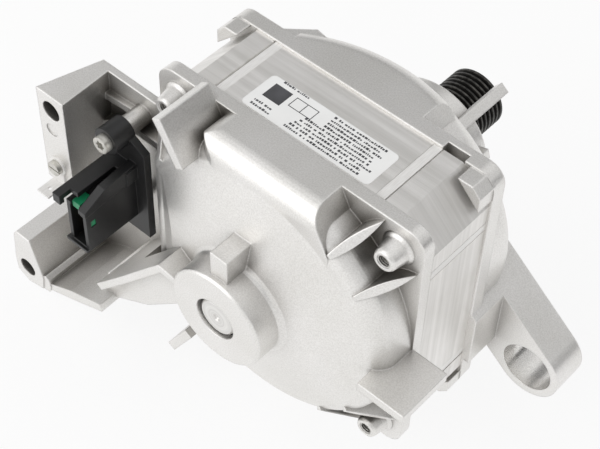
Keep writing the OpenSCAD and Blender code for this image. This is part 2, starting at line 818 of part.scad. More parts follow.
module front_balls() color(bright_steel) front_bearing()
    ball_set(front_bearing_bore, front_bearing_diameter, front_bearing_width);

module front_cage() color(brass) front_bearing()
    ball_cage(front_bearing_bore, front_bearing_diameter, front_bearing_width);

module front_seals() color(black) front_bearing()
    seal_pair(front_bearing_bore, front_bearing_diameter, front_bearing_width);

// stepped shaft from the open rear boss to the front face of the pulley, with a centre drilling in each end
module shaft() color(bright_steel) place() {
    rear = rear_bearing_bore / 2;
    rear_collar = rear + 1.8;
    middle = rotor_shaft_diameter / 2;
    front = front_bearing_bore / 2;
    front_collar = front + 1.4;
    nose = pulley_bore / 2;
    edge = 0.7;
    drilling = 1.6;
    start = rear_end_y + 0.8;
    end = pulley_end + 1.4;
    rear_step = rear_bearing_y + rear_bearing_width;
    turned([[0, start + drilling], [drilling, start], [rear - edge, start], [rear, start + edge],
        [rear, rear_step], [rear_collar, rear_step], [rear_collar, 0], [middle, 0], [middle, stack_length],
        [front_collar, stack_length], [front_collar, front_bearing_y], [front, front_bearing_y],
        [front, front_end_y], [nose, front_end_y], [nose, end - edge], [nose - edge, end],
        [drilling, end], [0, end - drilling]]);
}

// rotor laminations with a ring of holes that make them lighter
module rotor_core() color(steel_grey) place() {
    hub = rotor_shaft_diameter / 2;
    hole = (core_radius - hub) / 5;
    difference() {
        rod([0, 0], core_radius, rotor_clear, stack_length - rotor_clear);
        rod([0, 0], hub + fit, 0, stack_length);
        for (i = [0 : pole_count - 1]) let (a = 360 / pole_count * i)
            rod((core_radius + hub) / 2 * [cos(a), sin(a)], hole, 0, stack_length);
    }
}

// arc magnets around the rotor core with narrow gaps between them
module rotor_magnets() color(magnet_grey) place() {
    half_gap = 0.6;
    difference() {
        rod([0, 0], rotor_radius, rotor_clear, stack_length - rotor_clear);
        rod([0, 0], core_radius + fit, 0, stack_length);
        for (i = [0 : pole_count - 1]) rotate([0, 360 / pole_count * (i + 0.5), 0])
            box([core_radius - 1, 0, -half_gap], [rotor_radius + 1, stack_length, half_gap]);
    }
}

// balancing plates on both ends of the rotor
module rotor_end_plates() color(brass) place() {
    for (y = [rotor_clear - plate_thickness, stack_length - rotor_clear]) difference() {
        rod([0, 0], rotor_radius - 0.8, y, y + plate_thickness);
        rod([0, 0], rotor_shaft_diameter / 2 + fit, y - 1, y + plate_thickness + 1);
    }
}

// belt pulley with grooves between its ribs
module pulley() color(black) place() {
    tip = pulley_diameter / 2;
    bore = pulley_bore / 2 + fit;
    edge = 0.4;
    crest = rib_pitch * 0.16;
    floor_start = rib_pitch * 0.42;
    start = pulley_start + land;
    turned(concat([[bore, pulley_start], [tip - edge, pulley_start], [tip, pulley_start + edge]],
        [for (i = [0 : rib_count - 1], p = [[tip, crest], [tip - rib_depth, floor_start],
            [tip - rib_depth, rib_pitch - floor_start], [tip, rib_pitch - crest]])
            [p[0], start + i * rib_pitch + p[1]]],
        [[tip, pulley_end - edge], [tip - edge, pulley_end], [bore, pulley_end]]));
}

// moulded holder with a screw ear, a back plate, an open socket box and two latch bars
module connector_holder() color(black) place() {
    latch = socket_top + 3;
    bar = 2.2;
    hook = 4;
    outer_bar = socket_left - 2;
    inner_bar = socket_right - 2.4;
    bar_width = 3.4;
    lip = 1.2;
    peg = 2.5;
    inset = socket_wall;
    root = holder_rear + 1;
    difference() {
        union() {
            box([socket_left - 4, holder_rear, socket_bottom - 9],
                [holder_right, holder_front, socket_top + 9]);
            slab(holder_rear, holder_front)
                polygon([[socket_left, socket_top + 8], [holder_right, socket_top + 8],
                    [holder_right, socket_top + 13], post_at + [ear_radius, 0], post_at - [ear_radius, 0]]);
            rod(post_at, ear_radius, holder_front - ear_length, holder_front);
            box([socket_left, socket_mouth, socket_bottom], [socket_right, root, socket_top]);
            box([socket_left, holder_rear - 5, socket_top - 1], [socket_right + 1.5, root, latch + bar]);
            rod(peg_at, peg, holder_front - 1, web_rear);
            box([outer_bar, socket_mouth - hook, latch], [outer_bar + bar_width, root, latch + bar]);
            box([outer_bar, socket_mouth + 1.5, latch], [outer_bar + 2 * bar_width, root, latch + bar]);
            box([outer_bar, socket_mouth - hook, latch - 2],
                [outer_bar + bar_width, socket_mouth - hook + 2, latch + 1]);
            translate([inner_bar, 0, 0]) rotate([90, 0, 90]) linear_extrude(bar_width)
                polygon([[holder_rear, socket_top - 1], [holder_rear, latch + bar + 1.5],
                    [socket_mouth + 9, latch + bar], [socket_mouth - 1, socket_top + 0.4],
                    [socket_mouth - 1, socket_top - 2], [socket_mouth + 9.5, socket_top - 1]]);
            box([socket_left - lip, socket_mouth - lip, socket_bottom],
                [socket_right, socket_mouth + lip, socket_bottom + lip]);
        }
        box([socket_left + inset, socket_mouth - 1, socket_bottom + inset],
            [socket_right - inset, socket_back, socket_top - inset]);
        box([socket_left + 2, socket_mouth - 1, socket_top - 3],
            [inner_bar - 0.8, socket_mouth + 7, socket_top + 0.5]);
        box([socket_right - 3, socket_mouth + 2, socket_top - 10],
            [socket_right + 1, socket_mouth + 4.5, socket_top - 7]);
        rod(post_at, holder_screw_radius + clear, holder_front - ear_length - 1, holder_front + 1);
    }
}

// coloured insert that locks the terminals, with a tongue in the notch and a lug in the side window
module terminal_insert() color(green) place() {
    gap = 0.1;
    left = socket_left + socket_wall + gap;
    right = socket_right - socket_wall - gap;
    top = socket_top - socket_wall - gap;
    front = socket_mouth + 8;
    lug_low = socket_top - 9.8;
    lug_high = socket_top - 7.2;
    box([left, front, top - insert_height], [right, socket_back, top]);
    box([left + 0.5, socket_mouth + 0.8, top - 1], [right - 1.8, front + 1, top]);
    box([left + 0.5, socket_mouth + 0.8, top - 1], [right - 1.8, socket_mouth + 6.5, socket_top + 0.3]);
    box([right - 1, socket_mouth + 2.2, lug_low], [right, front + 1, lug_high]);
    box([right - 1, socket_mouth + 2.2, lug_low], [socket_right - 0.2, socket_mouth + 4.3, lug_high]);
}

// flat blades side by side in the open part of the socket
module blade_terminals() color(brass) place() {
    half_width = 2;
    half_thickness = 0.3;
    margin = 1.4;
    middle = (socket_left + socket_right) / 2;
    low = socket_bottom + socket_wall + margin;
    step = (socket_height - 2 * socket_wall - insert_height - 2 * margin) / max(1, blade_count - 1);
    for (i = [0 : blade_count - 1]) let (z = low + i * step)
        box([middle - half_width, socket_mouth + 6, z - half_thickness],
            [middle + half_width, socket_back, z + half_thickness]);
}

// screw that holds the connector ear to the cast post, with a six lobed recess
module holder_screw() color(zinc) place() {
    seat = holder_front - ear_length;
    head = 3.4;
    top = seat - 2.8;
    lobe = 0.5;
    recess = top + 1.8;
    difference() {
        union() {
            rod(post_at, holder_screw_radius, seat - 1, web_rear);
            rod(post_at, head, top, seat);
        }
        rod(post_at, 3 * lobe, top - 1, recess);
        for (a = [0 : 60 : 300]) rod(post_at + 3 * lobe * [cos(a), sin(a)], lobe, top - 1, recess);
    }
}

// angled earth blade on the rear end of the upper arm
module earth_tab() color(bright_steel) place() {
    half = 3;
    drop = 9;
    length = 9;
    rear = -upper_arm_depth;
    bottom = earth_at[1] - drop;
    difference() {
        union() {
            rod(earth_at, half + 1, rear - earth_blade, rear);
            box([earth_at[0] - half, rear - earth_blade, bottom], [earth_at[0] + half, rear, earth_at[1]]);
            box([earth_at[0] - half, rear - length, bottom],
                [earth_at[0] + half, rear, bottom + earth_blade]);
        }
        rod(earth_at, earth_screw_radius + clear, rear - 2, rear + 1);
        translate([earth_at[0], rear - 0.6 * length, bottom - 1]) cylinder(r = 0.8, h = earth_blade + 2);
    }
}

module earth_screw() color(zinc) place() {
    seat = -upper_arm_depth - earth_blade;
    head = 3;
    head_height = 2;
    half_slot = 0.4;
    difference() {
        union() {
            rod(earth_at, earth_screw_radius, seat - 1, seat + 7);
            rod(earth_at, head, seat - head_height, seat);
        }
        box([earth_at[0] - head - 1, seat - head_height - 1, earth_at[1] - half_slot],
            [earth_at[0] + head + 1, seat - head_height + 0.8, earth_at[1] + half_slot]);
    }
}

rear_shield();
front_shield();
stator_core();
stack_cleats();
coil_formers();
stator_coils();
rating_label();
clamp_screws();
rear_outer_ring();
rear_inner_ring();
rear_balls();
rear_cage();
rear_seals();
preload_spring();
front_outer_ring();
front_inner_ring();
front_balls();
front_cage();
front_seals();
shaft();
rotor_core();
rotor_magnets();
rotor_end_plates();
pulley();
connector_holder();
terminal_insert();
blade_terminals();
holder_screw();
earth_tab();
earth_screw();
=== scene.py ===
"""Looks of a belt drive motor for a drum washing machine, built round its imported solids."""

import json
import math
import random

import bmesh
import bpy
from mathutils import Euler, Matrix, Vector


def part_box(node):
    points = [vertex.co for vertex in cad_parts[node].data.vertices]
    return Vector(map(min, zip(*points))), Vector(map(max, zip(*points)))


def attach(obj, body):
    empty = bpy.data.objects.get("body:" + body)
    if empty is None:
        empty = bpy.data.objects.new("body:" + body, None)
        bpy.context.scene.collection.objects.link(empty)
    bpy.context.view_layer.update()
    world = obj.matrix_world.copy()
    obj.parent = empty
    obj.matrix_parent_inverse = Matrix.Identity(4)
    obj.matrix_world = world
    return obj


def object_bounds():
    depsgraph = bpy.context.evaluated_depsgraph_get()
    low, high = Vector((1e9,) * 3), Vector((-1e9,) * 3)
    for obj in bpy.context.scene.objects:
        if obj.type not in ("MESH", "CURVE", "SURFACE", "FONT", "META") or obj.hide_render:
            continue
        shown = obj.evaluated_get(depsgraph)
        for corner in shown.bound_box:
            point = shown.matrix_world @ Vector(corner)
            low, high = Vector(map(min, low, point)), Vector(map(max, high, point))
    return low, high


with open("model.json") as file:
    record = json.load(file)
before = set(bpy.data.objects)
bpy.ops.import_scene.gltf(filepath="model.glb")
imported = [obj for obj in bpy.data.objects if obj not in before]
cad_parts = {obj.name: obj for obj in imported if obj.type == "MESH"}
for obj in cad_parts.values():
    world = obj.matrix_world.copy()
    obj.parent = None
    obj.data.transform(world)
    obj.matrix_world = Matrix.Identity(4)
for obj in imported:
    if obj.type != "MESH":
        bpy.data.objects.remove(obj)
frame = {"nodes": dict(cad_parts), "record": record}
nodes = frame["nodes"]
cad_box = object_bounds()

MM = 0.001
# Keeps those parts of a place that lie across the shaft, which runs along Y.
ACROSS = (1.0, 0.0, 1.0)

# Sizes of the solids in millimetres. BELT_PLANE is the distance from the rear face of the stack to the belt
# plane, where the origin lies.
stack_low, stack_high = (Vector(corner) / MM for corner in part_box("stator_core"))
BELT_PLANE = -stack_low.y
STACK_HALF = stack_high.x
STACK_LENGTH = stack_high.y - stack_low.y
LABEL_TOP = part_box("rating_label")[1][2] / MM
RIB_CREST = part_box("pulley")[1][0] / MM
RIB_HEIGHT = 1.9
bush_bore = next(mount for mount in frame["record"]["mounts"] if mount["name"] == "arm_bush_bore")
BUSH_RADIUS = bush_bore["dims"]["r_mm"]


def at(x, y, z):
    """A place measured in millimetres from the rear face of the stack, as a point of the frame."""
    return Vector((x, y - BELT_PLANE, z)) * MM


def linear(hex_colour):
    """An sRGB hex colour as linear red, green, blue and alpha."""
    parts = [int(hex_colour[i:i + 2], 16) / 255 for i in (1, 3, 5)]
    return tuple(c / 12.92 if c <= 0.04045 else ((c + 0.055) / 1.055) ** 2.4 for c in parts) + (1.0,)


def grey(level):
    """A linear grey, where 1 is white."""
    return (level, level, level, 1.0)


def per_mm(size):
    """The texture scale that makes one repeat about this many millimetres long."""
    return 1.0 / (size * MM)


def node(look, kind, links=(), **settings):
    """Adds one shader node; settings name its properties or inputs, links give (input, source, output)."""
    made = look.node_tree.nodes.new(kind)
    for name, value in settings.items():
        if name.startswith("in_"):
            key = name[3:]
            made.inputs[int(key) if key.isdigit() else key.replace("_", " ")].default_value = value
        elif name == "stops":
            ramp = made.color_ramp
            while len(ramp.elements) < len(value):
                ramp.elements.new(0.5)
            for element, (place, colour) in zip(ramp.elements, value):
                element.position = place
                element.color = colour
        else:
            setattr(made, name, value)
    for into, source, out in links:
        join(look, source, out, made, into)
    return made


def join(look, source, out, target, into):
    """Links an output of one shader node to an input of another."""
    look.node_tree.links.new(source.outputs[out], target.inputs[into])


def new_material(name):
    """An empty node material with its output, one Principled shader and the coordinates of the piece."""
    look = bpy.data.materials.new(name)
    look.use_nodes = True
    look.node_tree.nodes.clear()
    shader = node(look, "ShaderNodeBsdfPrincipled")
    node(look, "ShaderNodeOutputMaterial", [("Surface", shader, "BSDF")])
    place = node(look, "ShaderNodeTexCoord")
    return look, shader, place


def take_grain(look, shader, pattern, rough, relief, edge=None):
    """Roughness and fine relief from one pattern; edge is the radius of softened corners in millimetres."""
    low, high = rough
    roughness = node(look, "ShaderNodeMapRange", [("Value", pattern, "Fac")], in_3=low, in_4=high)
    join(look, roughness, "Result", shader, "Roughness")
    bump = node(look, "ShaderNodeBump", [("Height", pattern, "Fac")],
                in_Strength=relief, in_Distance=0.1 * MM)
    join(look, bump, "Normal", shader, "Normal")
    if edge:
        soft = node(look, "ShaderNodeBevel", in_Radius=edge * MM, samples=6)
        join(look, soft, "Normal", bump, "Normal")


# Die cast aluminium, shot blasted: a pale warm grey skin of fine grit, faintly blotchy from the way it
# filled the mould, with edges that catch the light, and painted shade from ambient occlusion that greys the
# pockets and inner corners. The bush bore of the arm is reamed, so it is smoother and has no painted shade.
# Real grit is a quarter of a millimetre; it is drawn at twice that to show.
def cast_aluminium():
    look, shader, place = new_material("shot_blasted_cast_aluminium")
    grit = node(look, "ShaderNodeTexNoise", [("Vector", place, "Object")],
                in_Scale=per_mm(0.5), in_Detail=3.0)
    flow = node(look, "ShaderNodeTexNoise", [("Vector", place, "Object")],
                in_Scale=per_mm(26), in_Detail=4.0)
    tone = node(look, "ShaderNodeValToRGB", [("Fac", flow, "Fac")],
                stops=[(0.32, linear("#e8e6e2")), (0.68, linear("#f3f1ef"))])
    speck = node(look, "ShaderNodeValToRGB", [("Fac", grit, "Fac")],
                 stops=[(0.32, linear("#c6c4c0")), (0.66, linear("#f4f3f1"))])
    blend = node(look, "ShaderNodeMix", [(6, tone, "Color"), (7, speck, "Color")],
                 data_type="RGBA", in_0=0.38)
    # Painted shade: ambient occlusion darkens the base colour in pockets and inner corners, standing in for
    # the shadow there.
    pocket = node(look, "ShaderNodeAmbientOcclusion", in_Distance=20 * MM, samples=8, only_local=True)
    painted_pocket_shade = node(look, "ShaderNodeValToRGB", [("Fac", pocket, "AO")],
                stops=[(0.22, linear("#8a8783")), (0.82, linear("#ffffff"))])
    # Share of cast skin and of the painted pocket shade: none on the wall of the bush bore, all of it a
    # tenth of a millimetre further out.
    across = node(look, "ShaderNodeVectorMath", [(0, place, "Object")], operation="MULTIPLY", in_1=ACROSS)
    from_bore = node(look, "ShaderNodeVectorMath", [(0, across, "Vector")], operation="DISTANCE",
                     in_1=Vector(bush_bore["pos_m"]) * Vector(ACROSS))
    cast_share = node(look, "ShaderNodeMapRange", [("Value", from_bore, "Value")],
                      in_1=(BUSH_RADIUS + 0.02) * MM, in_2=(BUSH_RADIUS + 0.12) * MM)
    skin = node(look, "ShaderNodeMix", [(0, cast_share, "Result"), (6, blend, 2), (7, painted_pocket_shade, "Color")],
                data_type="RGBA", blend_type="MULTIPLY")
    join(look, skin, 2, shader, "Base Color")
    skin_rough = node(look, "ShaderNodeMapRange", [("Value", grit, "Fac")], in_3=0.30, in_4=0.46)
    rough = node(look, "ShaderNodeMix", [(0, cast_share, "Result"), (3, skin_rough, "Result")],
                 data_type="FLOAT", in_2=0.24)
    join(look, rough, 0, shader, "Roughness")
    soft = node(look, "ShaderNodeBevel", in_Radius=0.9 * MM, samples=8)
    bump = node(look, "ShaderNodeBump", [("Height", grit, "Fac"), ("Normal", soft, "Normal")],
                in_Strength=0.14, in_Distance=0.2 * MM)
    join(look, bump, "Normal", shader, "Normal")
    shader.inputs["Metallic"].default_value = 0.88
    return look


# Stack of electrical steel sheets: each punched edge has its own grey, so thin streaks run across the stack,
# a little duller than the castings.
def lamination_steel():
    look, shader, place = new_material("punched_lamination_steel")
    by_sheet = node(look, "ShaderNodeMapping", [("Vector", place, "Object")], in_Scale=(0.03, 1.0, 0.03))
    streak = node(look, "ShaderNodeTexNoise", [("Vector", by_sheet, "Vector")],
                  in_Scale=per_mm(2.6), in_Detail=4.0)
    cloud = node(look, "ShaderNodeTexNoise", [("Vector", place, "Object")],
                 in_Scale=per_mm(18), in_Detail=3.0)
    tone = node(look, "ShaderNodeValToRGB", [("Fac", streak, "Fac")],
                stops=[(0.32, linear("#d3d1cd")), (0.68, linear("#f7f5f3"))])
    worn = node(look, "ShaderNodeValToRGB", [("Fac", cloud, "Fac")],
                stops=[(0.35, linear("#e6e4e0")), (0.68, linear("#f3f1ef"))])
    blend = node(look, "ShaderNodeMix", [(6, tone, "Color"), (7, worn, "Color")],
                 data_type="RGBA", in_0=0.4)
    join(look, blend, 2, shader, "Base Color")
    take_grain(look, shader, streak, rough=(0.34, 0.50), relief=0.05)
    shader.inputs["Metallic"].default_value = 0.80
    return look


def lined_metal(look, shader, lines, dark, light, metallic, rough):
    """Two tones, roughness and relief from the lines that the making of a metal left on it."""
    tone = node(look, "ShaderNodeValToRGB", [("Fac", lines, "Fac")],
                stops=[(0.30, linear(dark)), (0.70, linear(light))])
    join(look, tone, "Color", shader, "Base Color")
    take_grain(look, shader, lines, rough, relief=0.12, edge=0.3)
    shader.inputs["Metallic"].default_value = metallic


def drawn_metal(name, dark, light, stretch, grain, metallic, rough):
    """Metal with fine draw lines; stretch sets their run, and grain is their spacing in millimetres."""
    look, shader, place = new_material(name)
    drawn = node(look, "ShaderNodeMapping", [("Vector", place, "Object")], in_Scale=stretch)
    lines = node(look, "ShaderNodeTexNoise", [("Vector", drawn, "Vector")],
                 in_Scale=per_mm(grain), in_Detail=4.0)
    lined_metal(look, shader, lines, dark, light, metallic, rough)
    return look


# Ground and turned steel of the shaft and bearings: bright, with fine lines that run round the axis.
def turned_steel():
    look, shader, place = new_material("ground_shaft_steel")
    split = node(look, "ShaderNodeSeparateXYZ", [("Vector", place, "Object")])
    across = node(look, "ShaderNodeVectorMath", [(0, place, "Object")], operation="MULTIPLY", in_1=ACROSS)
    radius = node(look, "ShaderNodeVectorMath", [(0, across, "Vector")], operation="LENGTH")
    round_axis = node(look, "ShaderNodeCombineXYZ", [("X", radius, "Value"), ("Y", split, "Y")])
    lines = node(look, "ShaderNodeTexNoise", [("Vector", round_axis, "Vector")],
                 in_Scale=per_mm(0.7), in_Detail=3.0)
    lined_metal(look, shader, lines, "#cfcdca", "#ecebe8", metallic=0.7, rough=(0.24, 0.38))
    return look


# Black phosphated steel of the pulley: dark and matt in the grooves, worn to grey on the crests.
def phosphated_steel():
    look, shader, place = new_material("black_phosphated_steel")
    across = node(look, "ShaderNodeVectorMath", [(0, place, "Object")], operation="MULTIPLY", in_1=ACROSS)
    radius = node(look, "ShaderNodeVectorMath", [(0, across, "Vector")], operation="LENGTH")
    height = node(look, "ShaderNodeMapRange", [("Value", radius, "Value")],
                  in_1=(RIB_CREST - RIB_HEIGHT) * MM, in_2=RIB_CREST * MM)
    scuff = node(look, "ShaderNodeTexNoise", [("Vector", place, "Object")],
                 in_Scale=per_mm(2.0), in_Detail=4.0)
    wear = node(look, "ShaderNodeMath", [(0, height, "Result"), (1, scuff, "Fac")], operation="MULTIPLY")
    tone = node(look, "ShaderNodeValToRGB", [("Fac", wear, "Value")],
                stops=[(0.10, linear("#1c1b1a")), (0.42, linear("#2c2b29")), (0.62, linear("#55534f"))])
    join(look, tone, "Color", shader, "Base Color")
    take_grain(look, shader, scuff, rough=(0.32, 0.50), relief=0.10, edge=0.12)
    shader.inputs["Metallic"].default_value = 0.4
    return look


def moulded(name, dark, light, grain, rough, edge=0.4, ior=1.55):
    """Moulded plastic, film or rubber with a fine grain and slight cloudiness; grain is in millimetres."""
    look, shader, place = new_material(name)
    erosion = node(look, "ShaderNodeTexNoise", [("Vector", place, "Object")],
                   in_Scale=per_mm(grain), in_Detail=3.0)
    cloud = node(look, "ShaderNodeTexNoise", [("Vector", place, "Object")],
                 in_Scale=per_mm(11), in_Detail=2.0)
    tone = node(look, "ShaderNodeValToRGB", [("Fac", cloud, "Fac")],
                stops=[(0.30, linear(dark)), (0.70, linear(light))])
    join(look, tone, "Color", shader, "Base Color")
    take_grain(look, shader, erosion, rough, relief=0.15, edge=edge)
    shader.inputs["IOR"].default_value = ior
    return look


cast = cast_aluminium()
lamination = lamination_steel()
black_steel = phosphated_steel()
ground_steel = turned_steel()
# Cold rolled strip: bright, with draw lines along the shaft.
cleat_steel = drawn_metal("cold_rolled_strip_steel", "#e6e4e1", "#f6f5f3",
                          stretch=(8.0, 0.6, 8.0), grain=2.5, metallic=0.2, rough=(0.28, 0.42))
# Zinc plated screws: pale, faintly warm, with small blotches.
zinc = drawn_metal("zinc_plated_steel", "#b9b7b0", "#dcdad4",
                   stretch=(1.0, 1.0, 1.0), grain=1.6, metallic=0.7, rough=(0.25, 0.40))
# Stamped brass of cages and terminals: yellow and bright, with faint rolling lines.
brass = drawn_metal("stamped_brass", "#b99a55", "#d9bd7c",
                    stretch=(1.0, 3.0, 1.0), grain=2.0, metallic=0.85, rough=(0.25, 0.40))
# Enamelled copper wire laid round the teeth: red brown, with fine lines like turns of wire.
copper = drawn_metal("enamelled_copper_wire", "#8f4a22", "#c47a44",
                     stretch=(1.0, 6.0, 1.0), grain=1.2, metallic=0.7, rough=(0.25, 0.45))
# Glass filled black plastic of the connector holder, faintly eroded, with a satin sheen.
charcoal = moulded("black_glass_filled_nylon", "#0e0e0f", "#171718", grain=0.5, rough=(0.34, 0.50))
# Green locking insert of the connector, smooth moulded.
green = moulded("green_moulded_nylon", "#0c6a44", "#158a5b", grain=0.6, rough=(0.35, 0.50))
# White satin label film: an almost even white with a soft sheen.
film = moulded("white_satin_label_film", "#efefee", "#f5f5f4", grain=0.8, rough=(0.42, 0.52),
               edge=0.1, ior=1.48)
# Thermal transfer print on the film: soft charcoal, slightly uneven.
print_ink = moulded("charcoal_label_print", "#39393b", "#535357", grain=0.4, rough=(0.50, 0.65),
                    edge=0.02, ior=1.48)
# Natural nylon of the coil formers: creamy white and satin.
nylon = moulded("natural_nylon", "#d9d3c2", "#e8e2d2", grain=0.6, rough=(0.40, 0.55))
# Sintered ferrite magnets, dull dark grey.
ferrite = moulded("sintered_ferrite", "#2f2f31", "#444446", grain=0.4, rough=(0.55, 0.75))
# Nitrile seals of the bearings: black and matt.
rubber = moulded("nitrile_rubber", "#171717", "#242424", grain=0.4, rough=(0.55, 0.70))

FINISH = {
    cast: ("rear_shield", "front_shield"),
    lamination: ("stator_core", "rotor_core"),
    cleat_steel: ("stack_cleats", "earth_tab"),
    ground_steel: ("shaft", "rear_outer_ring", "rear_inner_ring", "rear_balls", "front_outer_ring",
                   "front_inner_ring", "front_balls"),
    zinc: ("clamp_screws", "preload_spring", "holder_screw", "earth_screw"),
    brass: ("rear_cage", "front_cage", "rotor_end_plates", "blade_terminals"),
    copper: ("stator_coils",),
    nylon: ("coil_formers",),
    film: ("rating_label",),
    rubber: ("rear_seals", "front_seals"),
    ferrite: ("rotor_magnets",),
    black_steel: ("pulley",),
    charcoal: ("connector_holder",),
    green: ("terminal_insert",),
}
for finish, names in FINISH.items():
    for name in names:
        nodes[name].data.materials.clear()
        nodes[name].data.materials.append(finish)


def finished_piece(name, shape, material, body="motor_body"):
    """Makes a bmesh a piece of the motor that rides on a body."""
    bmesh.ops.remove_doubles(shape, verts=shape.verts, dist=0.0005 * MM)
    bmesh.ops.recalc_face_normals(shape, faces=shape.faces)
    mesh = bpy.data.meshes.new(name)
    shape.to_mesh(mesh)
    shape.free()
    mesh.materials.append(material)
    piece = bpy.data.objects.new(name, mesh)
    bpy.context.scene.collection.objects.link(piece)
    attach(piece, body)


def closed_loop(shape, verts):
    """Joins a list of vertices by edges, the last one to the first."""
    return [shape.edges.new(pair) for pair in zip(verts, verts[1:] + verts[:1])]


def new_verts(made):
    """The vertices among the elements that an operator made."""
    return [element for element in made if isinstance(element, bmesh.types.BMVert)]


def lamination_skin():
    """The punched edges of the sheets as fine ridges round the stack, one for each sheet."""
    sheet = 0.5
    # Gap at each end of the stack, and where the crest of a ridge starts and ends on its sheet.
    end_gap, crest_start, crest_end = 0.02, 0.12, 0.40
    # How far the joints and the crests stand out of the solid, and how far the closed skin reaches into it.
    joint, crest, sunk = 0.03, (0.035, 0.050), -0.3
    corner_cut = 12.0
    # Walls of a groove, from the middle of its side; the outer one stands close to the strip in it.
    groove_near, groove_far, groove_depth = 32.90, 37.05, 1.2

    corner = STACK_HALF - corner_cut
    groove_floor = STACK_HALF - groove_depth
    side = [(STACK_HALF, -corner)]
    for low, high in ((-groove_far, -groove_near), (groove_near, groove_far)):
        side += [(STACK_HALF, low), (groove_floor, low), (groove_floor, high), (STACK_HALF, high)]
    side.append((STACK_HALF, corner))
    outline = []
    for _ in range(4):
        outline += side
        side = [(-z, x) for x, z in side]
    shape = bmesh.new()
    ring = [shape.verts.new(at(x, end_gap, z)) for x, z in outline]
    rear_inner = closed_loop(shape, ring)

    def set_out(verts, y, proud):
        """Moves an outline to a station along the shaft, proud of the faces of the stack."""
        for v in verts:
            v.co.y = (y - BELT_PLANE) * MM
        share = (STACK_HALF + proud) * MM / max(abs(v.co.x) for v in verts)
        bmesh.ops.scale(shape, verts=verts, vec=(share, 1.0, share))

    def step(edges, y, proud):
        """Draws the outline on to its next station."""
        made = bmesh.ops.extrude_edge_only(shape, edges=edges)["geom"]
        set_out(new_verts(made), y, proud)
        return [element for element in made if isinstance(element, bmesh.types.BMEdge)]

    chance = random.Random(5)
    set_out(ring, end_gap, sunk)
    edges = step(rear_inner, end_gap, joint)
    for i in range(round(STACK_LENGTH / sheet)):
        proud = chance.uniform(*crest)
        edges = step(edges, i * sheet + crest_start, proud)
        edges = step(edges, i * sheet + crest_end, proud)
        edges = step(edges, (i + 1) * sheet - end_gap, joint)
    front_inner = step(edges, STACK_LENGTH - end_gap, sunk)
    bmesh.ops.bridge_loops(shape, edges=rear_inner + front_inner)
    finished_piece("lamination_edges", shape, lamination)


def add_bar(shape, low, high):
    """One printed bar on the label, given by two corners in the plane of the stack's top."""
    ink = 0.02
    made = bmesh.ops.create_grid(shape, x_segments=1, y_segments=1, size=0.5)["verts"]
    bmesh.ops.scale(shape, verts=made, vec=((high[0] - low[0]) * MM, (high[1] - low[1]) * MM, 1.0))
    middle = at((low[0] + high[0]) / 2, (low[1] + high[1]) / 2, LABEL_TOP)
    bmesh.ops.translate(shape, verts=made, vec=middle)
    faces = list({f for v in made for f in v.link_faces})
    top = bmesh.ops.extrude_face_region(shape, geom=faces)["geom"]
    bmesh.ops.translate(shape, verts=new_verts(top), vec=(0.0, 0.0, ink * MM))


def label_print():
    """Generic print: a plain block, a ruled box and rows of short strokes."""
    shape = bmesh.new()
    block_low, block_high = (-22.5, 8.0), (-15.0, 15.2)
    add_bar(shape, block_low, block_high)

    # Box of two cells. A hair gap keeps each bar of it a closed solid of its own.
    left, middle, right, foot, head = -13.0, -8.2, -3.2, 10.2, 14.8
    line, hair = 0.3, 0.03
    for y in (foot, head):
        add_bar(shape, (left, y), (right, y + line))
    for x in (left, middle, right - line):
        add_bar(shape, (x, foot + line + hair), (x + line, head - hair))

    # Rows of strokes: the place of each along the shaft, and its left and right end. After three short rows,
    # some start further right one by one, and the others, beside the box, start level.
    rows = [(2.6, -23.0, -13.0), (4.6, -23.0, -14.5), (17.0, -21.0, -8.0)]
    first_row, row_pitch, row_count, row_end = 2.4, 1.72, 9, 26.6
    slant_start, slant_shift, slant_count, level_start = -8.0, 0.8, 5, 2.0
    for i in range(row_count):
        start = slant_start + slant_shift * i if i < slant_count else level_start
        rows.append((first_row + row_pitch * i, start, row_end))

    # Strokes of uneven size with a wider gap now and then, so that they read as fine print from afar.
    stroke_length, stroke_height, ragged_end = (0.35, 1.10), (0.55, 1.00), (0.0, 4.0)
    gap, word_gap, word_share = 0.28, 0.7, 0.18
    chance = random.Random(11)
    for y, start, end in rows:
        x = start
        limit = end - chance.uniform(*ragged_end)
        while x < limit:
            length = chance.uniform(*stroke_length)
            height = chance.uniform(*stroke_height)
            add_bar(shape, (x, y), (min(x + length, end), y + height))
            x += length + gap
            if chance.random() > 1.0 - word_share:
                x += word_gap
    finished_piece("label_print", shape, print_ink)


def thread_turns():
    """Turns of thread seen in the open ends of the four corner bosses."""
    # Distance of the screws from the shaft, to the side and upwards.
    screw = 48.0
    first_turn, pitch, turns = -12.9, 0.8, 3
    # One turn in section: radius, and place along the shaft.
    bore, crest = 2.54, 2.12
    section = ((bore, 0.0), (crest, 0.32), (crest, 0.44), (bore, 0.76))
    shape = bmesh.new()
    for x, z in ((screw, screw), (-screw, screw), (-screw, -screw), (screw, -screw)):
        for i in range(turns):
            y = first_turn + i * pitch
            profile = [shape.verts.new(at(x + radius, y + along, z)) for radius, along in section]
            loop = closed_loop(shape, profile)
            bmesh.ops.spin(shape, geom=profile + loop, cent=at(x, y, z), axis=(0, 1, 0),
                           angle=2 * math.pi, steps=32, use_merge=True)
    finished_piece("boss_thread_turns", shape, cast)


lamination_skin()
label_print()
thread_turns()

# Camera: a long lens above and behind the motor, to the right.
camera_data = bpy.data.cameras.new("camera")
camera_data.sensor_fit = "HORIZONTAL"
camera_data.sensor_width = 36.0
camera_data.lens = 90.624
camera_data.clip_end = 10.0
camera = bpy.data.objects.new("camera", camera_data)
camera_place = at(216.23, -252.65, 413.61)
camera_turn = Euler([math.radians(angle) for angle in (39.864, -1.385, 41.84)])
camera.matrix_world = Matrix.Translation(camera_place) @ camera_turn.to_matrix().to_4x4()
bpy.context.scene.collection.objects.link(camera)
bpy.context.scene.camera = camera

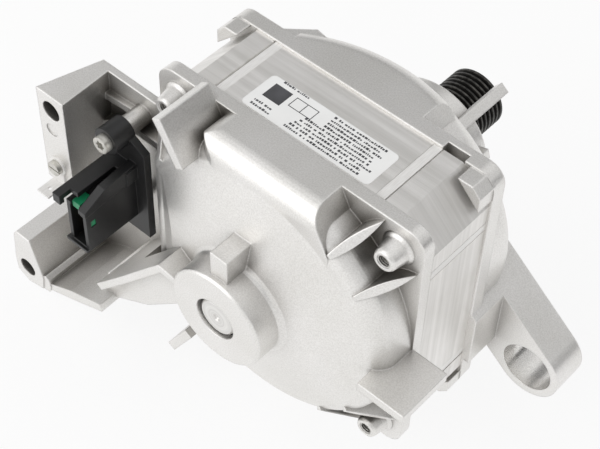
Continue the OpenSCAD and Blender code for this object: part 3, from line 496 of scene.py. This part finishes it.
# Large softbox behind the motor and to its left, aimed at its middle. Its places are in metres.
motor_middle = Vector((0.0, -0.08, -0.01))
softbox_place = Vector((-0.51, -1.06, 0.66))
softbox_data = bpy.data.lights.new("rear_softbox", "AREA")
softbox_data.shape = "SQUARE"
softbox_data.size = 1.4
softbox_data.energy = 6.5
softbox = bpy.data.objects.new("rear_softbox", softbox_data)
softbox_turn = (motor_middle - softbox_place).to_track_quat("-Z", "Y")
softbox.matrix_world = Matrix.Translation(softbox_place) @ softbox_turn.to_matrix().to_4x4()
bpy.context.scene.collection.objects.link(softbox)


def for_lenses(look, lit, shown, share):
    """Mixes a lit shader with a share of one that only camera, glossy and transmission rays see."""
    ray = node(look, "ShaderNodeLightPath")
    seen = node(look, "ShaderNodeMath", [(0, ray, "Is Camera Ray"), (1, ray, "Is Glossy Ray")],
                operation="MAXIMUM")
    through = node(look, "ShaderNodeMath", [(0, seen, "Value"), (1, ray, "Is Transmission Ray")],
                   operation="MAXIMUM")
    part = node(look, "ShaderNodeMath", [(0, through, "Value")], operation="MULTIPLY", in_1=share)
    return node(look, "ShaderNodeMixShader", [(0, part, "Value"), (1, lit, 0), (2, shown, 0)])


# White studio floor that keeps the shadow of the motor.
floor_paint, floor_shader, floor_coordinates = new_material("white_studio_floor")
floor_shader.inputs["Roughness"].default_value = 0.7
mottle = node(floor_paint, "ShaderNodeTexNoise", [("Vector", floor_coordinates, "Object")],
              in_Scale=per_mm(60))
floor_tone = node(floor_paint, "ShaderNodeValToRGB", [("Fac", mottle, "Fac")],
                  stops=[(0.3, linear("#f4f4f4")), (0.7, linear("#f7f7f7"))])
join(floor_paint, floor_tone, "Color", floor_shader, "Base Color")
glow = node(floor_paint, "ShaderNodeEmission", in_Color=grey(1.0), in_Strength=1.0)
floor_mix = for_lenses(floor_paint, floor_shader, glow, share=0.85)
floor_output = next(n for n in floor_paint.node_tree.nodes if n.type == "OUTPUT_MATERIAL")
join(floor_paint, floor_mix, "Shader", floor_output, "Surface")

# Half the width of the floor and its distance below the motor, in metres.
floor_half, floor_gap = 3.0, 0.001
ground = bmesh.new()
bmesh.ops.create_grid(ground, x_segments=8, y_segments=8, size=floor_half)
bmesh.ops.translate(ground, verts=ground.verts, vec=(0.0, 0.0, cad_box[0][2] - floor_gap))
floor_mesh = bpy.data.meshes.new("studio_floor")
ground.to_mesh(floor_mesh)
ground.free()
floor_mesh.materials.append(floor_paint)
floor = bpy.data.objects.new("studio_floor", floor_mesh)
bpy.context.scene.collection.objects.link(floor)

# Wall of the studio: white at its foot, with a grey band half way up and two soft dark flags, which give
# the metal its darker flanks. A camera low enough to look at the wall sees the flags too. The light that
# the motor gets from the wall is an even white.
world = bpy.data.worlds.new("white_studio")
bpy.context.scene.world = world
world.use_nodes = True
world.node_tree.nodes.clear()
sky = node(world, "ShaderNodeTexCoord")
height = node(world, "ShaderNodeSeparateXYZ", [("Vector", sky, "Generated")])
studio = node(world, "ShaderNodeValToRGB", [("Fac", height, "Z")],
              stops=[(0.05, grey(1.0)), (0.45, grey(0.60)), (0.70, grey(0.70)), (0.82, grey(0.90))])


def flagged(wall, out, turn, rise, inner, outer, depth):
    """Darkens a round patch of the wall; its middle, turn and rise, and its soft rim are in degrees."""
    turn, rise, inner, outer = (math.radians(angle) for angle in (turn, rise, inner, outer))
    middle = (math.cos(rise) * math.cos(turn), math.cos(rise) * math.sin(turn), math.sin(rise))
    towards = node(world, "ShaderNodeVectorMath", [(0, sky, "Generated")],
                   operation="DOT_PRODUCT", in_1=middle)
    kept = node(world, "ShaderNodeMapRange", [("Value", towards, "Value")], interpolation_type="SMOOTHSTEP",
                in_1=math.cos(outer), in_2=math.cos(inner), in_3=1.0, in_4=1.0 - depth)
    return node(world, "ShaderNodeMix", [(6, wall, out), (7, kept, "Result")], data_type="RGBA",
                blend_type="MULTIPLY", in_0=1.0)


right_flag = flagged(studio, "Color", turn=27, rise=-1, inner=12, outer=25, depth=1.0)
left_flag = flagged(right_flag, 2, turn=125, rise=39, inner=8, outer=22, depth=0.7)
backdrop = node(world, "ShaderNodeBackground", [("Color", left_flag, 2)], in_Strength=1.0)
fill = node(world, "ShaderNodeBackground", in_Color=grey(1.0), in_Strength=0.76)
world_mix = for_lenses(world, fill, backdrop, share=1.0)
node(world, "ShaderNodeOutputWorld", [("Surface", world_mix, "Shader")])

bpy.context.scene.view_settings.view_transform = "Standard"
